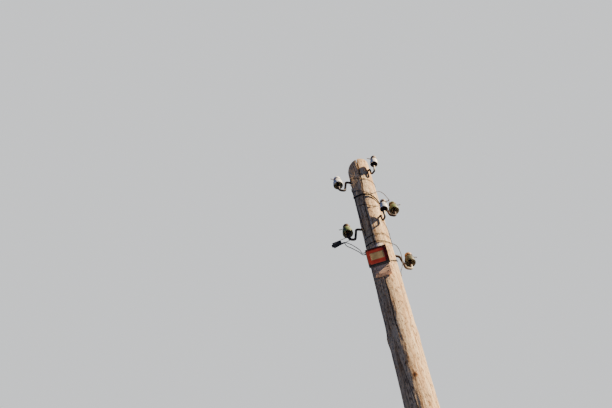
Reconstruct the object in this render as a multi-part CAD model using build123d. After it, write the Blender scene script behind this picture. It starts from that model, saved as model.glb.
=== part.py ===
from build123d import *
import os
from math import atan2, cos, pi, radians, sin, tan
from types import SimpleNamespace

# A round timber telephone pole with six porcelain line insulators on screwed steel
# hooks, a shallow terminal box on a wooden board, a service clamp and its own leads.
# Millimetres. The origin is the pole's centre at ground level, +Z runs up the pole and
# the terminal box faces -Y. A bearing is in degrees from -Y towards +X, and a fitting's
# height is given as its distance below the pole's top, as it is set out on the log.

# Pole: taper is the gain in diameter for each metre down from the top
pole_height = 7480.0
pole_top_diameter = 155.0
pole_taper = 8.0
roof_slope = 26.0
roof_fall_bearing = -123.0
main_check_width = 7.0
main_check_depth = 30.0
side_check_width = 5.0
side_check_depth = 22.0
check_overrun = 4.0

# Clearance between pieces that touch, and between a shank and its bore
seat_gap = 0.3
thread_gap = 0.15

# Large hook: a bent round bar, its shank driven level into the pole; the lean is that of
# its upright pin away from the pole
large_bar = 16.0
large_neck = 38.0
large_drop = 118.0
large_splay = 20.0
large_reach = 97.0
large_rise = 60.0
large_bend = 17.0
large_lean = 0.0

# Small hook
small_bar = 13.0
small_neck = 15.0
small_drop = 74.0
small_splay = 3.0
small_reach = 48.0
small_rise = 78.0
small_bend = 13.0
small_lean = 8.0

shank_in_wood = 62.0
bore_overrun = 10.0

# Insulators: the skirt is the widest ring, the groove carries the line wire
large_skirt = 68.0
large_height = 95.0
large_head = 47.0
large_groove = 38.0
large_wall = 5.5
small_skirt = 54.0
small_height = 86.0
small_head = 40.0
small_groove = 32.0
small_wall = 4.5
sleeve_wall = 4.0
pin_packing = 3.0

# Heights on an insulator, as shares of its whole height
flank_share = 0.25
sleeve_share = 0.28
roof_share = 0.46
shoulder_share = 0.57
pin_share = 0.62
neck_share = 0.66
groove_share = 0.09
crown_share = 0.86

# Wires
tie_wire = 3.5
tie_tail = 40.0
tie_gap = 0.7
tie_turn = 36.0
tie_corner_count = 9
lead_wire = 5.0
thin_wire = 3.5
thick_cable = 9.0

# Mounting board, its web the wood left in front of the pole
board_width = 99.0
board_thickness = 26.0
board_web = 23.0
board_shift = 7.0
board_below_box = 77.0
board_under_top = 12.0

# Terminal box: housing, cover with its border, panel, and the rim round the cover
box_centre_x = -18.5
box_below_top = 1239.0
box_width = 128.0
box_height = 162.0
box_depth = 12.0
box_wall = 4.0
box_tilt = 0.5
box_corner = 4.0
cover_thickness = 4.0
cover_web = 1.5
border_side = 23.0
border_end = 46.0
panel_thickness = 2.0
rim_width = 3.5
rim_lip = 2.5

# Glands at the box's left side, measured down from its top
gland_diameter = 8.0
gland_length = 8.0
gland_socket = 4.0
gland_drops = (8.5, 26.0)

# Service leads: where each leaves the clamp's inner end, aside and up, how far it runs
# straight there, and its bend into a gland as distances out of it and up
lead_starts = ((-4.0, -6.0), (-9.0, -8.0))
lead_run_out = 7.0
lead_run_in = ((18.0, 10.5), (13.5, 4.2), (7.0, 0.0), (0.0, 0.0))

# Service clamp on the lower left hook
clamp_length = 54.0
clamp_width = 30.0
clamp_depth = 26.0
clamp_taper = 5.0
clamp_corner = 4.0
clamp_bearing = -88.0
clamp_pitch = 18.0
clamp_wall = 4.0
clamp_floor = 14.0
clamp_eye = 7.0
wedge_play = 2.0
wedge_stand_out = 9.0
bail_wire = 4.0
bail_gap = 2.5
bail_side = 2.0
bail_turn_in = 8.0
bail_length = 56.0
bail_height = 10.0

# Bearing, distance below the pole's top, and size of each hook with its insulator
fittings = {
    "top_right": (57.0, 153.0, "small"),
    "mid_right": (43.0, 762.0, "small"),
    "rear_upper": (118.0, 477.0, "large"),
    "rear_lower": (119.0, 1070.0, "large"),
    "left_upper": (-62.0, 236.0, "large"),
    "left_lower": (-67.0, 806.0, "large"),
}

hook_sizes = {
    "large": SimpleNamespace(bar=large_bar, neck=large_neck, drop=large_drop,
                             splay=large_splay, reach=large_reach, rise=large_rise,
                             bend=large_bend, lean=large_lean),
    "small": SimpleNamespace(bar=small_bar, neck=small_neck, drop=small_drop,
                             splay=small_splay, reach=small_reach, rise=small_rise,
                             bend=small_bend, lean=small_lean),
}
bell_sizes = {
    "large": SimpleNamespace(skirt=large_skirt, height=large_height, head=large_head,
                             groove=large_groove, wall=large_wall),
    "small": SimpleNamespace(skirt=small_skirt, height=small_height, head=small_head,
                             groove=small_groove, wall=small_wall),
}


def pole_radius(below):
    """Radius of the tapered timber at a distance below its top."""
    return pole_top_diameter / 2 + pole_taper / 2 * below / 1000


def spot(x, y, below):
    """Point given by its distance below the pole's top."""
    return Vector(x, y, pole_height - below)


def at(bearing, reach, below):
    """Point at a bearing, at a distance from the pole's axis."""
    b = radians(bearing)
    return spot(reach * sin(b), -reach * cos(b), below)


def turned(shape, bearing, below):
    """Carry a shape drawn with +X outwards to its bearing and height."""
    return Pos(0, 0, pole_height - below) * Rot(0, 0, bearing - 90) * shape


def corner_radii(points):
    """The largest tangent arc that each corner's two runs leave room for."""
    radii = []
    for before, here, after in zip(points, points[1:], points[2:]):
        turn = radians((here - before).get_angle(after - here))
        shorter = min((here - before).length, (after - here).length)
        radii.append(0.45 * shorter / tan(turn / 2))
    return radii


def tube(name, points, diameter):
    """Round wire of straight runs and tangent arcs; prints its arcs and volume."""
    points = [Vector(p) for p in points]
    radii = corner_radii(points)
    path = FilletPolyline(*points, radius=radii)
    start = Plane(origin=path @ 0, z_dir=path % 0)
    wire = sweep(start * Circle(diameter / 2), path=path)
    ideal = pi * diameter**2 / 4 * path.length
    print(f"{name}: length {path.length:.0f}, arcs {[round(r) for r in radii]}, "
          f"volume ratio {wire.volume / ideal:.4f}")
    return wire


def on_pole(stops, diameter):
    """Route on the timber through (bearing, distance below the top) stops.

    The corners stand out so far that the runs between them clear the timber.
    """
    route = []
    for i, (bearing, below) in enumerate(stops):
        steps = [abs(stops[j][0] - bearing) for j in (i - 1, i + 1) if 0 <= j < len(stops)]
        reach = pole_radius(below) + diameter / 2 + seat_gap
        route.append(at(bearing, reach / cos(radians(max(steps) / 2)), below))
    return route


def check_groove(stops, width, depth):
    """Wedge that opens a drying check along stops of bearing, distance down and share."""
    sections = []
    for bearing, below, share in stops:
        outer = pole_radius(below) + check_overrun
        inner = pole_radius(below) - depth * share
        half = width * share / 2
        mouth = Polyline((outer, -half), (inner, 0), (outer, half), close=True)
        sections.append(turned(make_face(mouth), bearing, below))
    return loft(sections, ruled=True)


def pin_depth(kind):
    """How far the hook's pin stands above the insulator's rim."""
    return pin_share * bell_sizes[kind].height


def neck_height(kind):
    """Height of an insulator's neck groove above its hook's lower bend."""
    return hook_sizes[kind].rise + neck_share * bell_sizes[kind].height


def pin_frame(bearing, below, kind, height):
    """Frame on a hook's pin at a height above its lower bend, Z along the pin."""
    size = hook_sizes[kind]
    foot = Pos(pole_radius(below) + size.reach, 0, -size.drop)
    return turned(foot * Rot(0, size.lean, 0) * Pos(0, 0, height), bearing, below)


def hook(bearing, below, kind):
    """Bar bent out, down and up again, with its shank in the timber."""
    size = hook_sizes[kind]
    face = pole_radius(below)
    pin = size.rise + pin_depth(kind)
    lean = radians(size.lean)
    points = [
        (face - shank_in_wood, 0, 0),
        (face + size.neck, 0, 0),
        (face + size.neck + size.splay, 0, -size.drop),
        (face + size.reach, 0, -size.drop),
        (face + size.reach + pin * sin(lean), 0, pin * cos(lean) - size.drop),
    ]
    path = FilletPolyline(*points, radius=size.bend)
    start = Plane(origin=path @ 0, z_dir=path % 0)
    return turned(sweep(start * Circle(size.bar / 2), path=path), bearing, below)


def shank_bore(bearing, below, kind):
    """Hole in the timber for a hook's shank."""
    length = shank_in_wood + seat_gap + bore_overrun
    bore = Cylinder(hook_sizes[kind].bar / 2 + thread_gap, length, rotation=(0, 90, 0))
    middle = pole_radius(below) + bore_overrun - length / 2
    return turned(Pos(middle, 0, 0) * bore, bearing, below)


def insulator(bearing, below, kind):
    """Bell of glazed porcelain turned about its pin: skirt, inner sleeve, neck, head."""
    size = bell_sizes[kind]
    tall = size.height
    rim = size.skirt / 2
    inside = rim - size.wall
    head = size.head / 2
    bore = hook_sizes[kind].bar / 2 + pin_packing
    sleeve = bore + sleeve_wall
    roof = roof_share * tall
    top = pin_depth(kind) + seat_gap
    neck = neck_share * tall
    notch = groove_share * tall
    shoulder = Vector(head + 1, shoulder_share * tall)
    flank = Vector(rim - 1, flank_share * tall)
    bulge = (shoulder + flank) / 2 + Vector(0.06 * rim, 0.06 * rim)
    crown = crown_share * tall
    ball = ((tall - crown) ** 2 + head**2) / (2 * (tall - crown))
    half_angle = atan2(head, ball - tall + crown) / 2
    with BuildSketch(Plane.XZ) as section:
        with BuildLine():
            Polyline((0, top), (bore, top), (bore, sleeve_share * tall),
                     (sleeve, sleeve_share * tall), (sleeve, roof),
                     ((sleeve + inside) / 2 + 1, roof), (inside, size.wall / 2))
            ThreePointArc((inside, size.wall / 2), (rim - size.wall / 2, 0),
                          (rim, size.wall / 2))
            Line((rim, size.wall / 2), flank)
            ThreePointArc(flank, bulge, shoulder)
            Line(shoulder, (head + 1, neck - notch + 0.5))
            ThreePointArc((head + 1, neck - notch + 0.5), (size.groove / 2, neck),
                          (head, neck + notch))
            Line((head, neck + notch), (head, crown))
            ThreePointArc((head, crown),
                          (ball * sin(half_angle), tall - ball + ball * cos(half_angle)),
                          (0, tall))
            Line((0, tall), (0, top))
        make_face()
    bell = revolve(section.sketch, Axis.Z)
    return pin_frame(bearing, below, kind, hook_sizes[kind].rise) * bell


def packing(bearing, below, kind):
    """Tarred tow wound on a hook's pin, filling the insulator's bore."""
    bar = hook_sizes[kind].bar
    length = pin_depth(kind) - sleeve_share * bell_sizes[kind].height
    ring = Cylinder(bar / 2 + pin_packing - thread_gap, length)
    ring -= Cylinder(bar / 2 + thread_gap, length)
    middle = hook_sizes[kind].rise + pin_depth(kind) - length / 2
    return pin_frame(bearing, below, kind, middle) * ring


def neck_tie(name, bearing, below, kind):
    """Tie wire once round the neck groove, its two ends left side by side."""
    size = bell_sizes[kind]
    ring = size.groove / 2 + tie_wire / 2 + tie_gap
    corner = ring / cos(radians(tie_turn / 2))
    rise = tie_wire + 2 * seat_gap
    last = tie_corner_count - 1
    points = []
    for i in range(tie_corner_count):
        a = radians(180 + (i - last / 2) * tie_turn)
        points.append(Vector(corner * cos(a), corner * sin(a), rise * (i / last - 0.5)))
    begin = points[0] + (points[0] - points[1]).normalized() * tie_tail
    end = points[-1] + (points[-1] - points[-2]).normalized() * tie_tail
    wire = tube(name, [begin, *points[1:-1], end], tie_wire)
    return pin_frame(bearing, below, kind, neck_height(kind)) * wire


def top_waste():
    """Block above the sloping saw cut that sheds rain to the rear left."""
    size = 2 * pole_top_diameter
    block = Pos(0, 0, size / 2) * Box(size, size, size)
    middle = pole_height - pole_radius(0) * tan(radians(roof_slope))
    turn = Rot(0, 0, roof_fall_bearing - 90) * Rot(0, roof_slope, 0)
    return Pos(0, 0, middle) * turn * block


# Stops of a check: bearing, distance below the top, and share of the full width there
main_check = [
    (4.5, -40.0, 1.0), (6.5, 150.0, 1.0), (4.0, 270.0, 1.0), (2.5, 360.0, 0.9),
    (-1.0, 410.0, 0.8), (-6.0, 480.0, 0.8), (-13.0, 650.0, 0.9), (-11.0, 840.0, 1.0),
    (-13.0, 980.0, 0.8), (-9.0, 1230.0, 0.7), (-8.0, 1580.0, 0.9), (-12.0, 1830.0, 0.7),
    (-2.0, 2040.0, 0.2),
]
side_check = [
    (-39.0, 1920.0, 0.2), (-34.0, 2080.0, 0.8), (-20.0, 2280.0, 1.0), (-8.0, 2530.0, 1.0),
    (-4.0, 2980.0, 0.8), (-10.0, 3580.0, 0.2),
]


def pole_shaft():
    """Tapered log with its sloping top, drying checks and shank bores."""
    log = Pos(0, 0, pole_height / 2) * Cone(
        pole_radius(pole_height), pole_radius(0), pole_height)
    log -= top_waste()
    log -= check_groove(main_check, main_check_width, main_check_depth)
    log -= check_groove(side_check, side_check_width, side_check_depth)
    for bearing, below, kind in fittings.values():
        log -= shank_bore(bearing, below, kind)
    return log


def board_plane():
    """Frame of the board and box: X across, Y into the pole, Z up, tilted a little."""
    return Pos(box_centre_x, 0, pole_height - box_below_top) * Rot(0, -box_tilt, 0)


def board_face():
    """Distance of the board's front from the pole's axis."""
    return pole_radius(box_below_top + box_height / 2) + board_web


def mounting_board():
    """Board hollowed at the back to the pole's curve, its ends left sawn."""
    top = box_height / 2 - board_under_top
    bottom = -box_height / 2 - board_below_box
    block = Pos(board_shift, -board_face() + board_thickness / 2, (top + bottom) / 2) * Box(
        board_width, board_thickness, top - bottom)
    saddle = Pos(0, 0, pole_height / 2) * Cone(
        pole_radius(pole_height) + seat_gap, pole_radius(0) + seat_gap, pole_height)
    return board_plane() * block - saddle


def front_plate(width, height, thickness, back):
    """Upright plate of the box, its back at a distance from the pole's axis."""
    return Pos(0, -back - thickness / 2, 0) * Box(width, thickness, height)


def box_back():
    """Distance of the housing's back from the pole's axis."""
    return board_face() + seat_gap


def box_front():
    """Distance of the cover's back from the pole's axis."""
    return box_back() + box_depth + seat_gap


def box_body():
    """Shallow cast tray with rounded corners, shut by its cover."""
    shell = front_plate(box_width, box_height, box_depth, box_back())
    shell = fillet(shell.edges().filter_by(Axis.Y), box_corner)
    hollow = front_plate(box_width - 2 * box_wall, box_height - 2 * box_wall, box_depth,
                         box_back() + box_wall)
    return board_plane() * (shell - hollow)


def box_rim():
    """Pressed rim round the cover, standing a little proud of it."""
    depth = cover_thickness + rim_lip
    ring = front_plate(box_width, box_height, depth, box_front())
    ring = fillet(ring.edges().filter_by(Axis.Y), box_corner)
    inside = front_plate(box_width - 2 * rim_width, box_height - 2 * rim_width,
                         2 * depth, box_front() - depth / 2)
    return board_plane() * (ring - inside)


def box_frame():
    """Cover with a wide border and a sunk field for the panel."""
    clear = rim_width + seat_gap
    plate = front_plate(box_width - 2 * clear, box_height - 2 * clear, cover_thickness,
                        box_front())
    field = front_plate(box_width - 2 * border_side, box_height - 2 * border_end,
                        cover_thickness, box_front() + cover_web)
    return board_plane() * (plate - field)


def box_panel():
    """Plain panel that lies in the cover's sunk field."""
    width = box_width - 2 * border_side - 2 * seat_gap
    height = box_height - 2 * border_end - 2 * seat_gap
    return board_plane() * front_plate(width, height, panel_thickness,
                                       box_front() + cover_web + seat_gap)


def gland_frame(index):
    """Frame of a gland: origin on the housing's left side, X out of it."""
    return board_plane() * Pos(-box_width / 2 - seat_gap, -box_back() - box_depth / 2,
                               box_height / 2 - gland_drops[index]) * Rot(0, 0, 180)


def lead_glands():
    """Two ferrules where the service leads enter the housing."""
    ring = Pos(gland_length / 2, 0, 0) * Cylinder(
        gland_diameter / 2, gland_length, rotation=(0, 90, 0))
    socket = Pos(gland_length, 0, 0) * Cylinder(
        lead_wire / 2 + thread_gap, 2 * gland_socket, rotation=(0, 90, 0))
    return [gland_frame(index) * (ring - socket) for index in range(len(gland_drops))]


def clamp_frame():
    """Frame of the clamp: origin on the hook's pin, X out along the clamp."""
    pin = pin_frame(*fittings["left_lower"], bail_height).position
    return Pos(pin) * Rot(0, 0, clamp_bearing - 90) * Rot(0, clamp_pitch, 0)


def clamp_mouth():
    """Width and depth of the clamp's mouth."""
    less = 2 * clamp_wall + clamp_taper
    return clamp_width - less, clamp_depth - less


def clamp_body():
    """Tapered housing of the wedge clamp, open at its outer end."""
    near = Plane((bail_length, 0, 0), z_dir=(1, 0, 0)) * RectangleRounded(
        clamp_depth - clamp_taper, clamp_width - clamp_taper, clamp_corner)
    far = Plane((bail_length + clamp_length, 0, 0), z_dir=(1, 0, 0)) * RectangleRounded(
        clamp_depth, clamp_width, clamp_corner)
    shell = loft([near, far])
    mouth_length = clamp_length - clamp_floor
    mouth = Pos(bail_length + clamp_length - mouth_length / 2, 0, 0) * Box(
        mouth_length, *clamp_mouth())
    eye = Pos(bail_length + clamp_eye, 0, 0) * Cylinder(
        bail_wire / 2 + thread_gap, clamp_width * 2, rotation=(90, 0, 0))
    return clamp_frame() * (shell - mouth - eye)


def clamp_wedge():
    """Wedge pushed into the clamp's mouth."""
    width, depth = clamp_mouth()
    inner = bail_length + clamp_floor + wedge_play
    length = clamp_length - clamp_floor - wedge_play + wedge_stand_out
    wedge = Pos(inner + length / 2, 0, 0) * Box(
        length, width - 2 * seat_gap, depth - 2 * seat_gap)
    return clamp_frame() * wedge


def clamp_bail():
    """Wire loop round the hook's pin, its ends turned into the clamp's eye."""
    pin = large_bar / 2 / cos(radians(clamp_pitch))
    inner = pin + bail_gap + bail_wire / 2
    side = (clamp_width - clamp_taper) / 2 + bail_wire / 2 + bail_side
    eye_x = bail_length + clamp_eye
    points = [(eye_x, side - bail_turn_in, 0), (eye_x, side, 0), (-inner, inner + 1, 0),
              (-inner, -inner - 1, 0), (eye_x, -side, 0), (eye_x, bail_turn_in - side, 0)]
    radii = [bail_wire * 0.9, inner * 0.95, inner * 0.95, bail_wire * 0.9]
    path = FilletPolyline(*points, radius=radii)
    start = Plane(origin=path @ 0, z_dir=path % 0)
    return clamp_frame() * sweep(start * Circle(bail_wire / 2), path=path)


def placed_point(frame, x, y, z):
    """A point of a local frame in the part's frame."""
    return (frame * Pos(x, y, z)).position


def clamp_lead(index):
    """Route of a service lead from the clamp's inner end to its gland."""
    side, low = lead_starts[index]
    start = bail_length - seat_gap
    route = [placed_point(clamp_frame(), start - run, side, low) for run in (0, lead_run_out)]
    route += [
        [spot(-201.5, -68, 936.5), spot(-194.5, -70.5, 943), spot(-185, -74.5, 957.5),
         spot(-174, -78.5, 975), spot(-162, -83.5, 997), spot(-149, -89, 1024),
         spot(-137, -95, 1054), spot(-124, -101.5, 1085), spot(-113, -106, 1115),
         spot(-107.5, -110, 1137)],
        [spot(-201.5, -62.7, 938.5), spot(-196.5, -65, 944), spot(-194, -69, 953),
         spot(-193, -73, 970), spot(-189, -78, 992), spot(-178, -83.5, 1018),
         spot(-163.5, -88.5, 1043), spot(-149.5, -93.8, 1070), spot(-135.5, -98.5, 1099),
         spot(-122, -104, 1126), spot(-112, -109, 1152)],
    ][index]
    end = gland_length - gland_socket + seat_gap
    return route + [placed_point(gland_frame(index), end + run, 0, rise)
                    for run, rise in lead_run_in]


def upper_jumper():
    """Wire across the front of the pole and over to the rear upper insulator."""
    kind = fittings["rear_upper"][2]
    held = on_pole([(-62, 362), (-36, 396), (-10, 434), (14, 482), (36, 488), (56, 450),
                    (74, 408)], lead_wire)
    beside = bell_sizes[kind].groove / 2 + tie_gap + tie_wire + seat_gap + lead_wire / 2
    frame = pin_frame(*fittings["rear_upper"], neck_height(kind))
    free = [at(90, 101, 382), at(98, 122, 396), at(104, 138, 422),
            placed_point(frame, -beside, -28, 18), placed_point(frame, -beside, 5, 0)]
    return held + free


def lower_jumper():
    """Wire across the front, out in a loop beside the rear lower hook and back."""
    held = on_pole([(-64, 1010), (-40, 1028), (-14, 1039), (8, 1048), (30, 1050),
                    (52, 1048), (72, 1034)], lead_wire)
    free = [at(88, 101, 1022), at(98, 115, 1042), at(104, 121, 1084), at(105, 120, 1134),
            at(104, 114, 1184), at(103, 103, 1230)]
    back = on_pole([(103, 1272), (104, 1312)], lead_wire)
    return held + free + back


# Wires held against the timber: stops of bearing and distance below the top, diameter
pole_wires = {
    "binding_wire": ([(-172, 180), (-148, 175), (-122, 180), (-96, 190), (-70, 202),
                      (-44, 222), (-20, 260), (4, 284), (30, 300), (56, 308), (82, 304),
                      (108, 284), (134, 248), (160, 212)], thin_wire),
    "thick_cable": ([(-60, 438), (-34, 470), (-8, 486), (18, 504), (42, 534), (64, 573),
                     (86, 600), (108, 612), (132, 616)], thick_cable),
    "thin_loop": ([(-40, 580), (-14, 598), (12, 644), (34, 646), (58, 618)], thin_wire),
    "cross_lead": ([(-62, 940), (-36, 958), (-10, 966), (14, 966), (36, 960), (58, 972),
                    (82, 980), (106, 984), (130, 986)], thin_wire),
    "riser_right": ([(52, 800), (64, 822), (77, 856), (87, 900), (93, 940)], thin_wire),
    "riser_left": ([(-76, 280), (-72, 320), (-66, 380), (-63, 450), (-62, 520),
                    (-60, 590), (-55, 660), (-51, 730), (-50, 800), (-48, 870),
                    (-45, 920)], lead_wire),
    "box_lead": ([(34, 1252), (50, 1244), (68, 1218), (88, 1190), (100, 1170)], lead_wire),
}


def build():
    """Make every piece and write it under its node's name."""
    pieces = {"pole_shaft": pole_shaft()}
    packings = []
    for place, fitting in fittings.items():
        pieces[f"hook_{place}"] = hook(*fitting)
        pieces[f"insulator_{place}"] = insulator(*fitting)
        pieces[f"neck_tie_{place}"] = neck_tie(f"neck_tie_{place}", *fitting)
        packings.append(packing(*fitting))
    pieces["pin_packings"] = packings
    pieces["mounting_board"] = mounting_board()
    pieces["box_body"] = box_body()
    pieces["box_rim"] = box_rim()
    pieces["box_frame"] = box_frame()
    pieces["box_panel"] = box_panel()
    pieces["lead_glands"] = lead_glands()
    pieces["clamp_body"] = clamp_body()
    pieces["clamp_wedge"] = clamp_wedge()
    pieces["clamp_bail"] = clamp_bail()
    for index, name in enumerate(("service_lead_upper", "service_lead_lower")):
        pieces[name] = tube(name, clamp_lead(index), lead_wire)
    pieces["jumper_upper"] = tube("jumper_upper", upper_jumper(), lead_wire)
    pieces["jumper_lower"] = tube("jumper_lower", lower_jumper(), lead_wire)
    for name, (stops, diameter) in pole_wires.items():
        pieces[name] = tube(name, on_pole(stops, diameter), diameter)
    os.makedirs("parts", exist_ok=True)
    for name, piece in pieces.items():
        solids = piece if isinstance(piece, list) else [piece]
        solids = [solid for item in solids for solid in item.solids()]
        whole = solids[0] if len(solids) == 1 else Compound(children=solids)
        export_step(whole, f"parts/{name}.step")


build()
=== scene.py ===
from math import cos, pi, radians, sin, tan
from random import Random
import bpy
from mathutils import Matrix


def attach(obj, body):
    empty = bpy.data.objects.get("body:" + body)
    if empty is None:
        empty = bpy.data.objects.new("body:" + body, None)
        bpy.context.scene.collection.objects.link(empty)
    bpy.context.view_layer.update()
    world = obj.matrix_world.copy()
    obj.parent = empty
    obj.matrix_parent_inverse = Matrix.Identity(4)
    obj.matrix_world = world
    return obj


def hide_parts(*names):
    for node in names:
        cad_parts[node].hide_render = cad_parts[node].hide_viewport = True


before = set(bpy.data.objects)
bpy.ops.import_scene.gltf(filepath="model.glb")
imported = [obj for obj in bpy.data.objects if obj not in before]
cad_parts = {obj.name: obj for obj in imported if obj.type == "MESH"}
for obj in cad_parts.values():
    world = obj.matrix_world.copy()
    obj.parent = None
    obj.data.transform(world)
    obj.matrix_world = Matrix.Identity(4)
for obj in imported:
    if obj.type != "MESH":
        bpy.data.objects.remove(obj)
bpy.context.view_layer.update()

from types import SimpleNamespace

import bmesh
import bpy
from mathutils import Matrix, Vector


# Pole. A peeled round pine log, left to weather for decades: cream where the sun bleaches
# it and grey elsewhere, with long drying checks, knots and a sloping saw cut on top that
# sheds rain. It stands on its level foot and carries everything else.
mm = 0.001
pole_height = 7480
pole_top_diameter = 155
pole_taper = 8
roof_slope = radians(26)
roof_fall_bearing = radians(-123)
log_sides = 168
log_length = 7.5
fine_rows_from = 4.9
coarse_rows = 70
fine_rows = 290
merge_gap = 0.00002


def pole_radius(below):
    """Radius of the timber, in millimetres, at a distance below its top."""
    return pole_top_diameter / 2 + pole_taper / 2 * below / 1000


def spot(x, y, below):
    """Point in metres of millimetres across, deep and below the pole's top."""
    return Vector((x, y, pole_height - below)) * mm


def at(bearing, reach, below):
    """Point at a bearing in degrees from the front towards the right."""
    b = radians(bearing)
    return spot(reach * sin(b), -reach * cos(b), below)


def skin(bearing, below):
    """Point on the round of the timber."""
    return at(bearing, pole_radius(below), below)


def alone(piece):
    """Make one object the only one that is selected."""
    bpy.ops.object.select_all(action="DESELECT")
    piece.select_set(True)
    bpy.context.view_layer.objects.active = piece


def made(operator, **settings):
    """Add a primitive with nothing else selected."""
    bpy.ops.object.select_all(action="DESELECT")
    operator(**settings)
    return bpy.context.object


def opened(piece, kind="VERT"):
    """Open a piece for editing, with all of it selected."""
    alone(piece)
    bpy.ops.object.mode_set(mode="EDIT")
    bpy.ops.mesh.select_mode(type=kind)
    bpy.ops.mesh.select_all(action="SELECT")


def pick(piece, kind, wanted):
    """Select only the wanted vertices, edges or faces of an open piece."""
    bpy.ops.mesh.select_mode(type=kind)
    bpy.ops.mesh.select_all(action="DESELECT")
    mesh = bmesh.from_edit_mesh(piece.data)
    for part in {"VERT": mesh.verts, "EDGE": mesh.edges, "FACE": mesh.faces}[kind]:
        part.select_set(wanted(part))
    mesh.select_flush_mode()
    bmesh.update_edit_mesh(piece.data)


def shut():
    """End the editing of a piece."""
    bpy.ops.mesh.select_mode(type="VERT")
    bpy.ops.object.mode_set(mode="OBJECT")


def extruded(step):
    """Draw what is selected on by a step in metres."""
    bpy.ops.mesh.extrude_region_move(TRANSFORM_OT_translate={"value": step})


def outwards(piece):
    """Merge doubles of a closed mesh and turn all its faces outwards."""
    opened(piece)
    bpy.ops.mesh.remove_doubles(threshold=merge_gap)
    bpy.ops.mesh.normals_make_consistent(inside=False)
    shut()


def shape_with(piece, kind, **settings):
    """Give a piece one modifier and apply it."""
    modifier = piece.modifiers.new(kind, kind)
    for name, value in settings.items():
        setattr(modifier, name, value)
    bpy.context.view_layer.update()
    alone(piece)
    bpy.ops.object.modifier_apply(modifier=modifier.name)


def joined(pieces):
    """Join objects into the first one, with their places in its mesh."""
    alone(pieces[0])
    for piece in pieces:
        piece.select_set(True)
    bpy.ops.object.join()
    bpy.ops.object.transform_apply()
    return bpy.context.object


def cut_away(piece, cutter, solver="MANIFOLD"):
    """Cut one object out of a piece and remove the cutter."""
    shape_with(piece, "BOOLEAN", operation="DIFFERENCE", object=cutter, solver=solver)
    bpy.data.objects.remove(cutter)


def pressed(piece, texture, place, sizes, height, level):
    """Move a surface by a texture with a real place and sizes; level is where it rests."""
    guide = made(bpy.ops.object.empty_add, location=place)
    guide.scale = sizes
    bpy.context.view_layer.update()
    shape_with(piece, "DISPLACE", texture=texture, texture_coords="OBJECT",
               texture_coords_object=guide, strength=height, mid_level=level)
    bpy.data.objects.remove(guide)


def press_noise(piece, sizes, depth, octaves, level):
    """Press a noise of real sizes into a piece; level 1 presses inwards only."""
    texture = bpy.data.textures.new("relief", "CLOUDS")
    texture.noise_scale = 1.0
    texture.noise_depth = octaves
    pressed(piece, texture, (0, 0, 0), sizes, depth, level)


def swell(piece, place, sizes, height):
    """Raise or sink a round place by a height that fades out at its sizes."""
    texture = bpy.data.textures.new("swell", "BLEND")
    texture.progression = "QUADRATIC_SPHERE"
    pressed(piece, texture, place, sizes, height, 0.0)


def check_cutter(stops, width, depth):
    """Wedge drawn along stops of bearing, distance below the top and share of full size."""
    overrun = 4
    bearing, below, share = stops[0]
    mouth = pole_radius(below) + overrun
    cutter = made(bpy.ops.mesh.primitive_plane_add, size=1.0)
    cutter.scale = (width * share * mm, (depth + overrun) * share * mm, 1)
    cutter.location = (0, (-mouth + (depth + overrun) * share / 2) * mm, 0)
    bpy.ops.object.transform_apply()
    cutter.rotation_euler = (0, 0, radians(bearing))
    cutter.location = spot(0, 0, below)
    bpy.ops.object.transform_apply()
    opened(cutter)
    pick(cutter, "VERT", lambda corner: corner.co.xy.length < (mouth - overrun / 2) * mm)
    bpy.ops.mesh.merge(type="CENTER")
    bpy.ops.mesh.select_all(action="SELECT")
    for next_bearing, next_below, next_share in stops[1:]:
        extruded(skin(bearing, next_below) - skin(bearing, below))
        bpy.ops.transform.rotate(value=-radians(next_bearing - bearing), orient_axis="Z",
                                 orient_type="GLOBAL", center_override=(0, 0, 0))
        bearing, below = next_bearing, next_below
        scale = next_share / share
        bpy.ops.transform.resize(
            value=(scale, scale, 1),
            center_override=at(bearing, pole_radius(below) + overrun, below))
        share = next_share
    shut()
    outwards(cutter)
    return cutter


def lens_cutter(half_sizes, turn, place, segments, rings):
    """Lens-shaped cutter of half sizes in millimetres."""
    cutter = made(bpy.ops.mesh.primitive_uv_sphere_add, segments=segments, ring_count=rings,
                  radius=1.0)
    cutter.scale = [size * mm for size in half_sizes]
    cutter.rotation_euler = turn
    cutter.location = place
    return cutter


main_check = [
    (4.5, -40, 1.0), (6.5, 150, 1.0), (4.0, 270, 1.0), (2.5, 360, 0.9), (-1.0, 410, 0.8),
    (-6.0, 480, 0.8), (-13.0, 650, 0.9), (-11.0, 840, 1.0), (-13.0, 980, 0.8),
    (-9.0, 1230, 0.7), (-8.0, 1580, 0.9), (-12.0, 1830, 0.7), (-2.0, 2040, 0.2),
]
side_check = [
    (-39.0, 1920, 0.2), (-34.0, 2080, 0.8), (-20.0, 2280, 1.0), (-8.0, 2530, 1.0),
    (-4.0, 2980, 0.8), (-10.0, 3580, 0.2),
]
# Bearing, distance below the top and radius of each knot, in degrees and millimetres
knots = [(9, 2254, 8), (-85, 1880, 12), (-100, 690, 8), (150, 900, 11), (-140, 1500, 13),
         (118, 2300, 12), (-164, 2900, 12), (84, 4100, 14), (-70, 4700, 13), (20, 5400, 15),
         (170, 5000, 14), (-110, 6200, 15)]
# Bearing, distance below the top, size and height of the log's broad swellings
swellings = [(-86, 1850, 120, 5), (88, 1870, 110, 4), (20, 3400, 160, 4), (160, 4600, 200, 5)]
# Old wire has worn short level grooves: bearing, distance below the top and length of each
wire_marks = [(28, 342, 54), (23, 385, 40), (22, 414, 24), (21, 871, 44), (30, 920, 30),
              (-150, 330, 60), (120, 352, 50)]
mark_depth = 7
mark_half_height = 2.2
knot_rise = 3.0
knot_hollow = 4.5
slit_count = 64
golden_turn = 137.5

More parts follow.
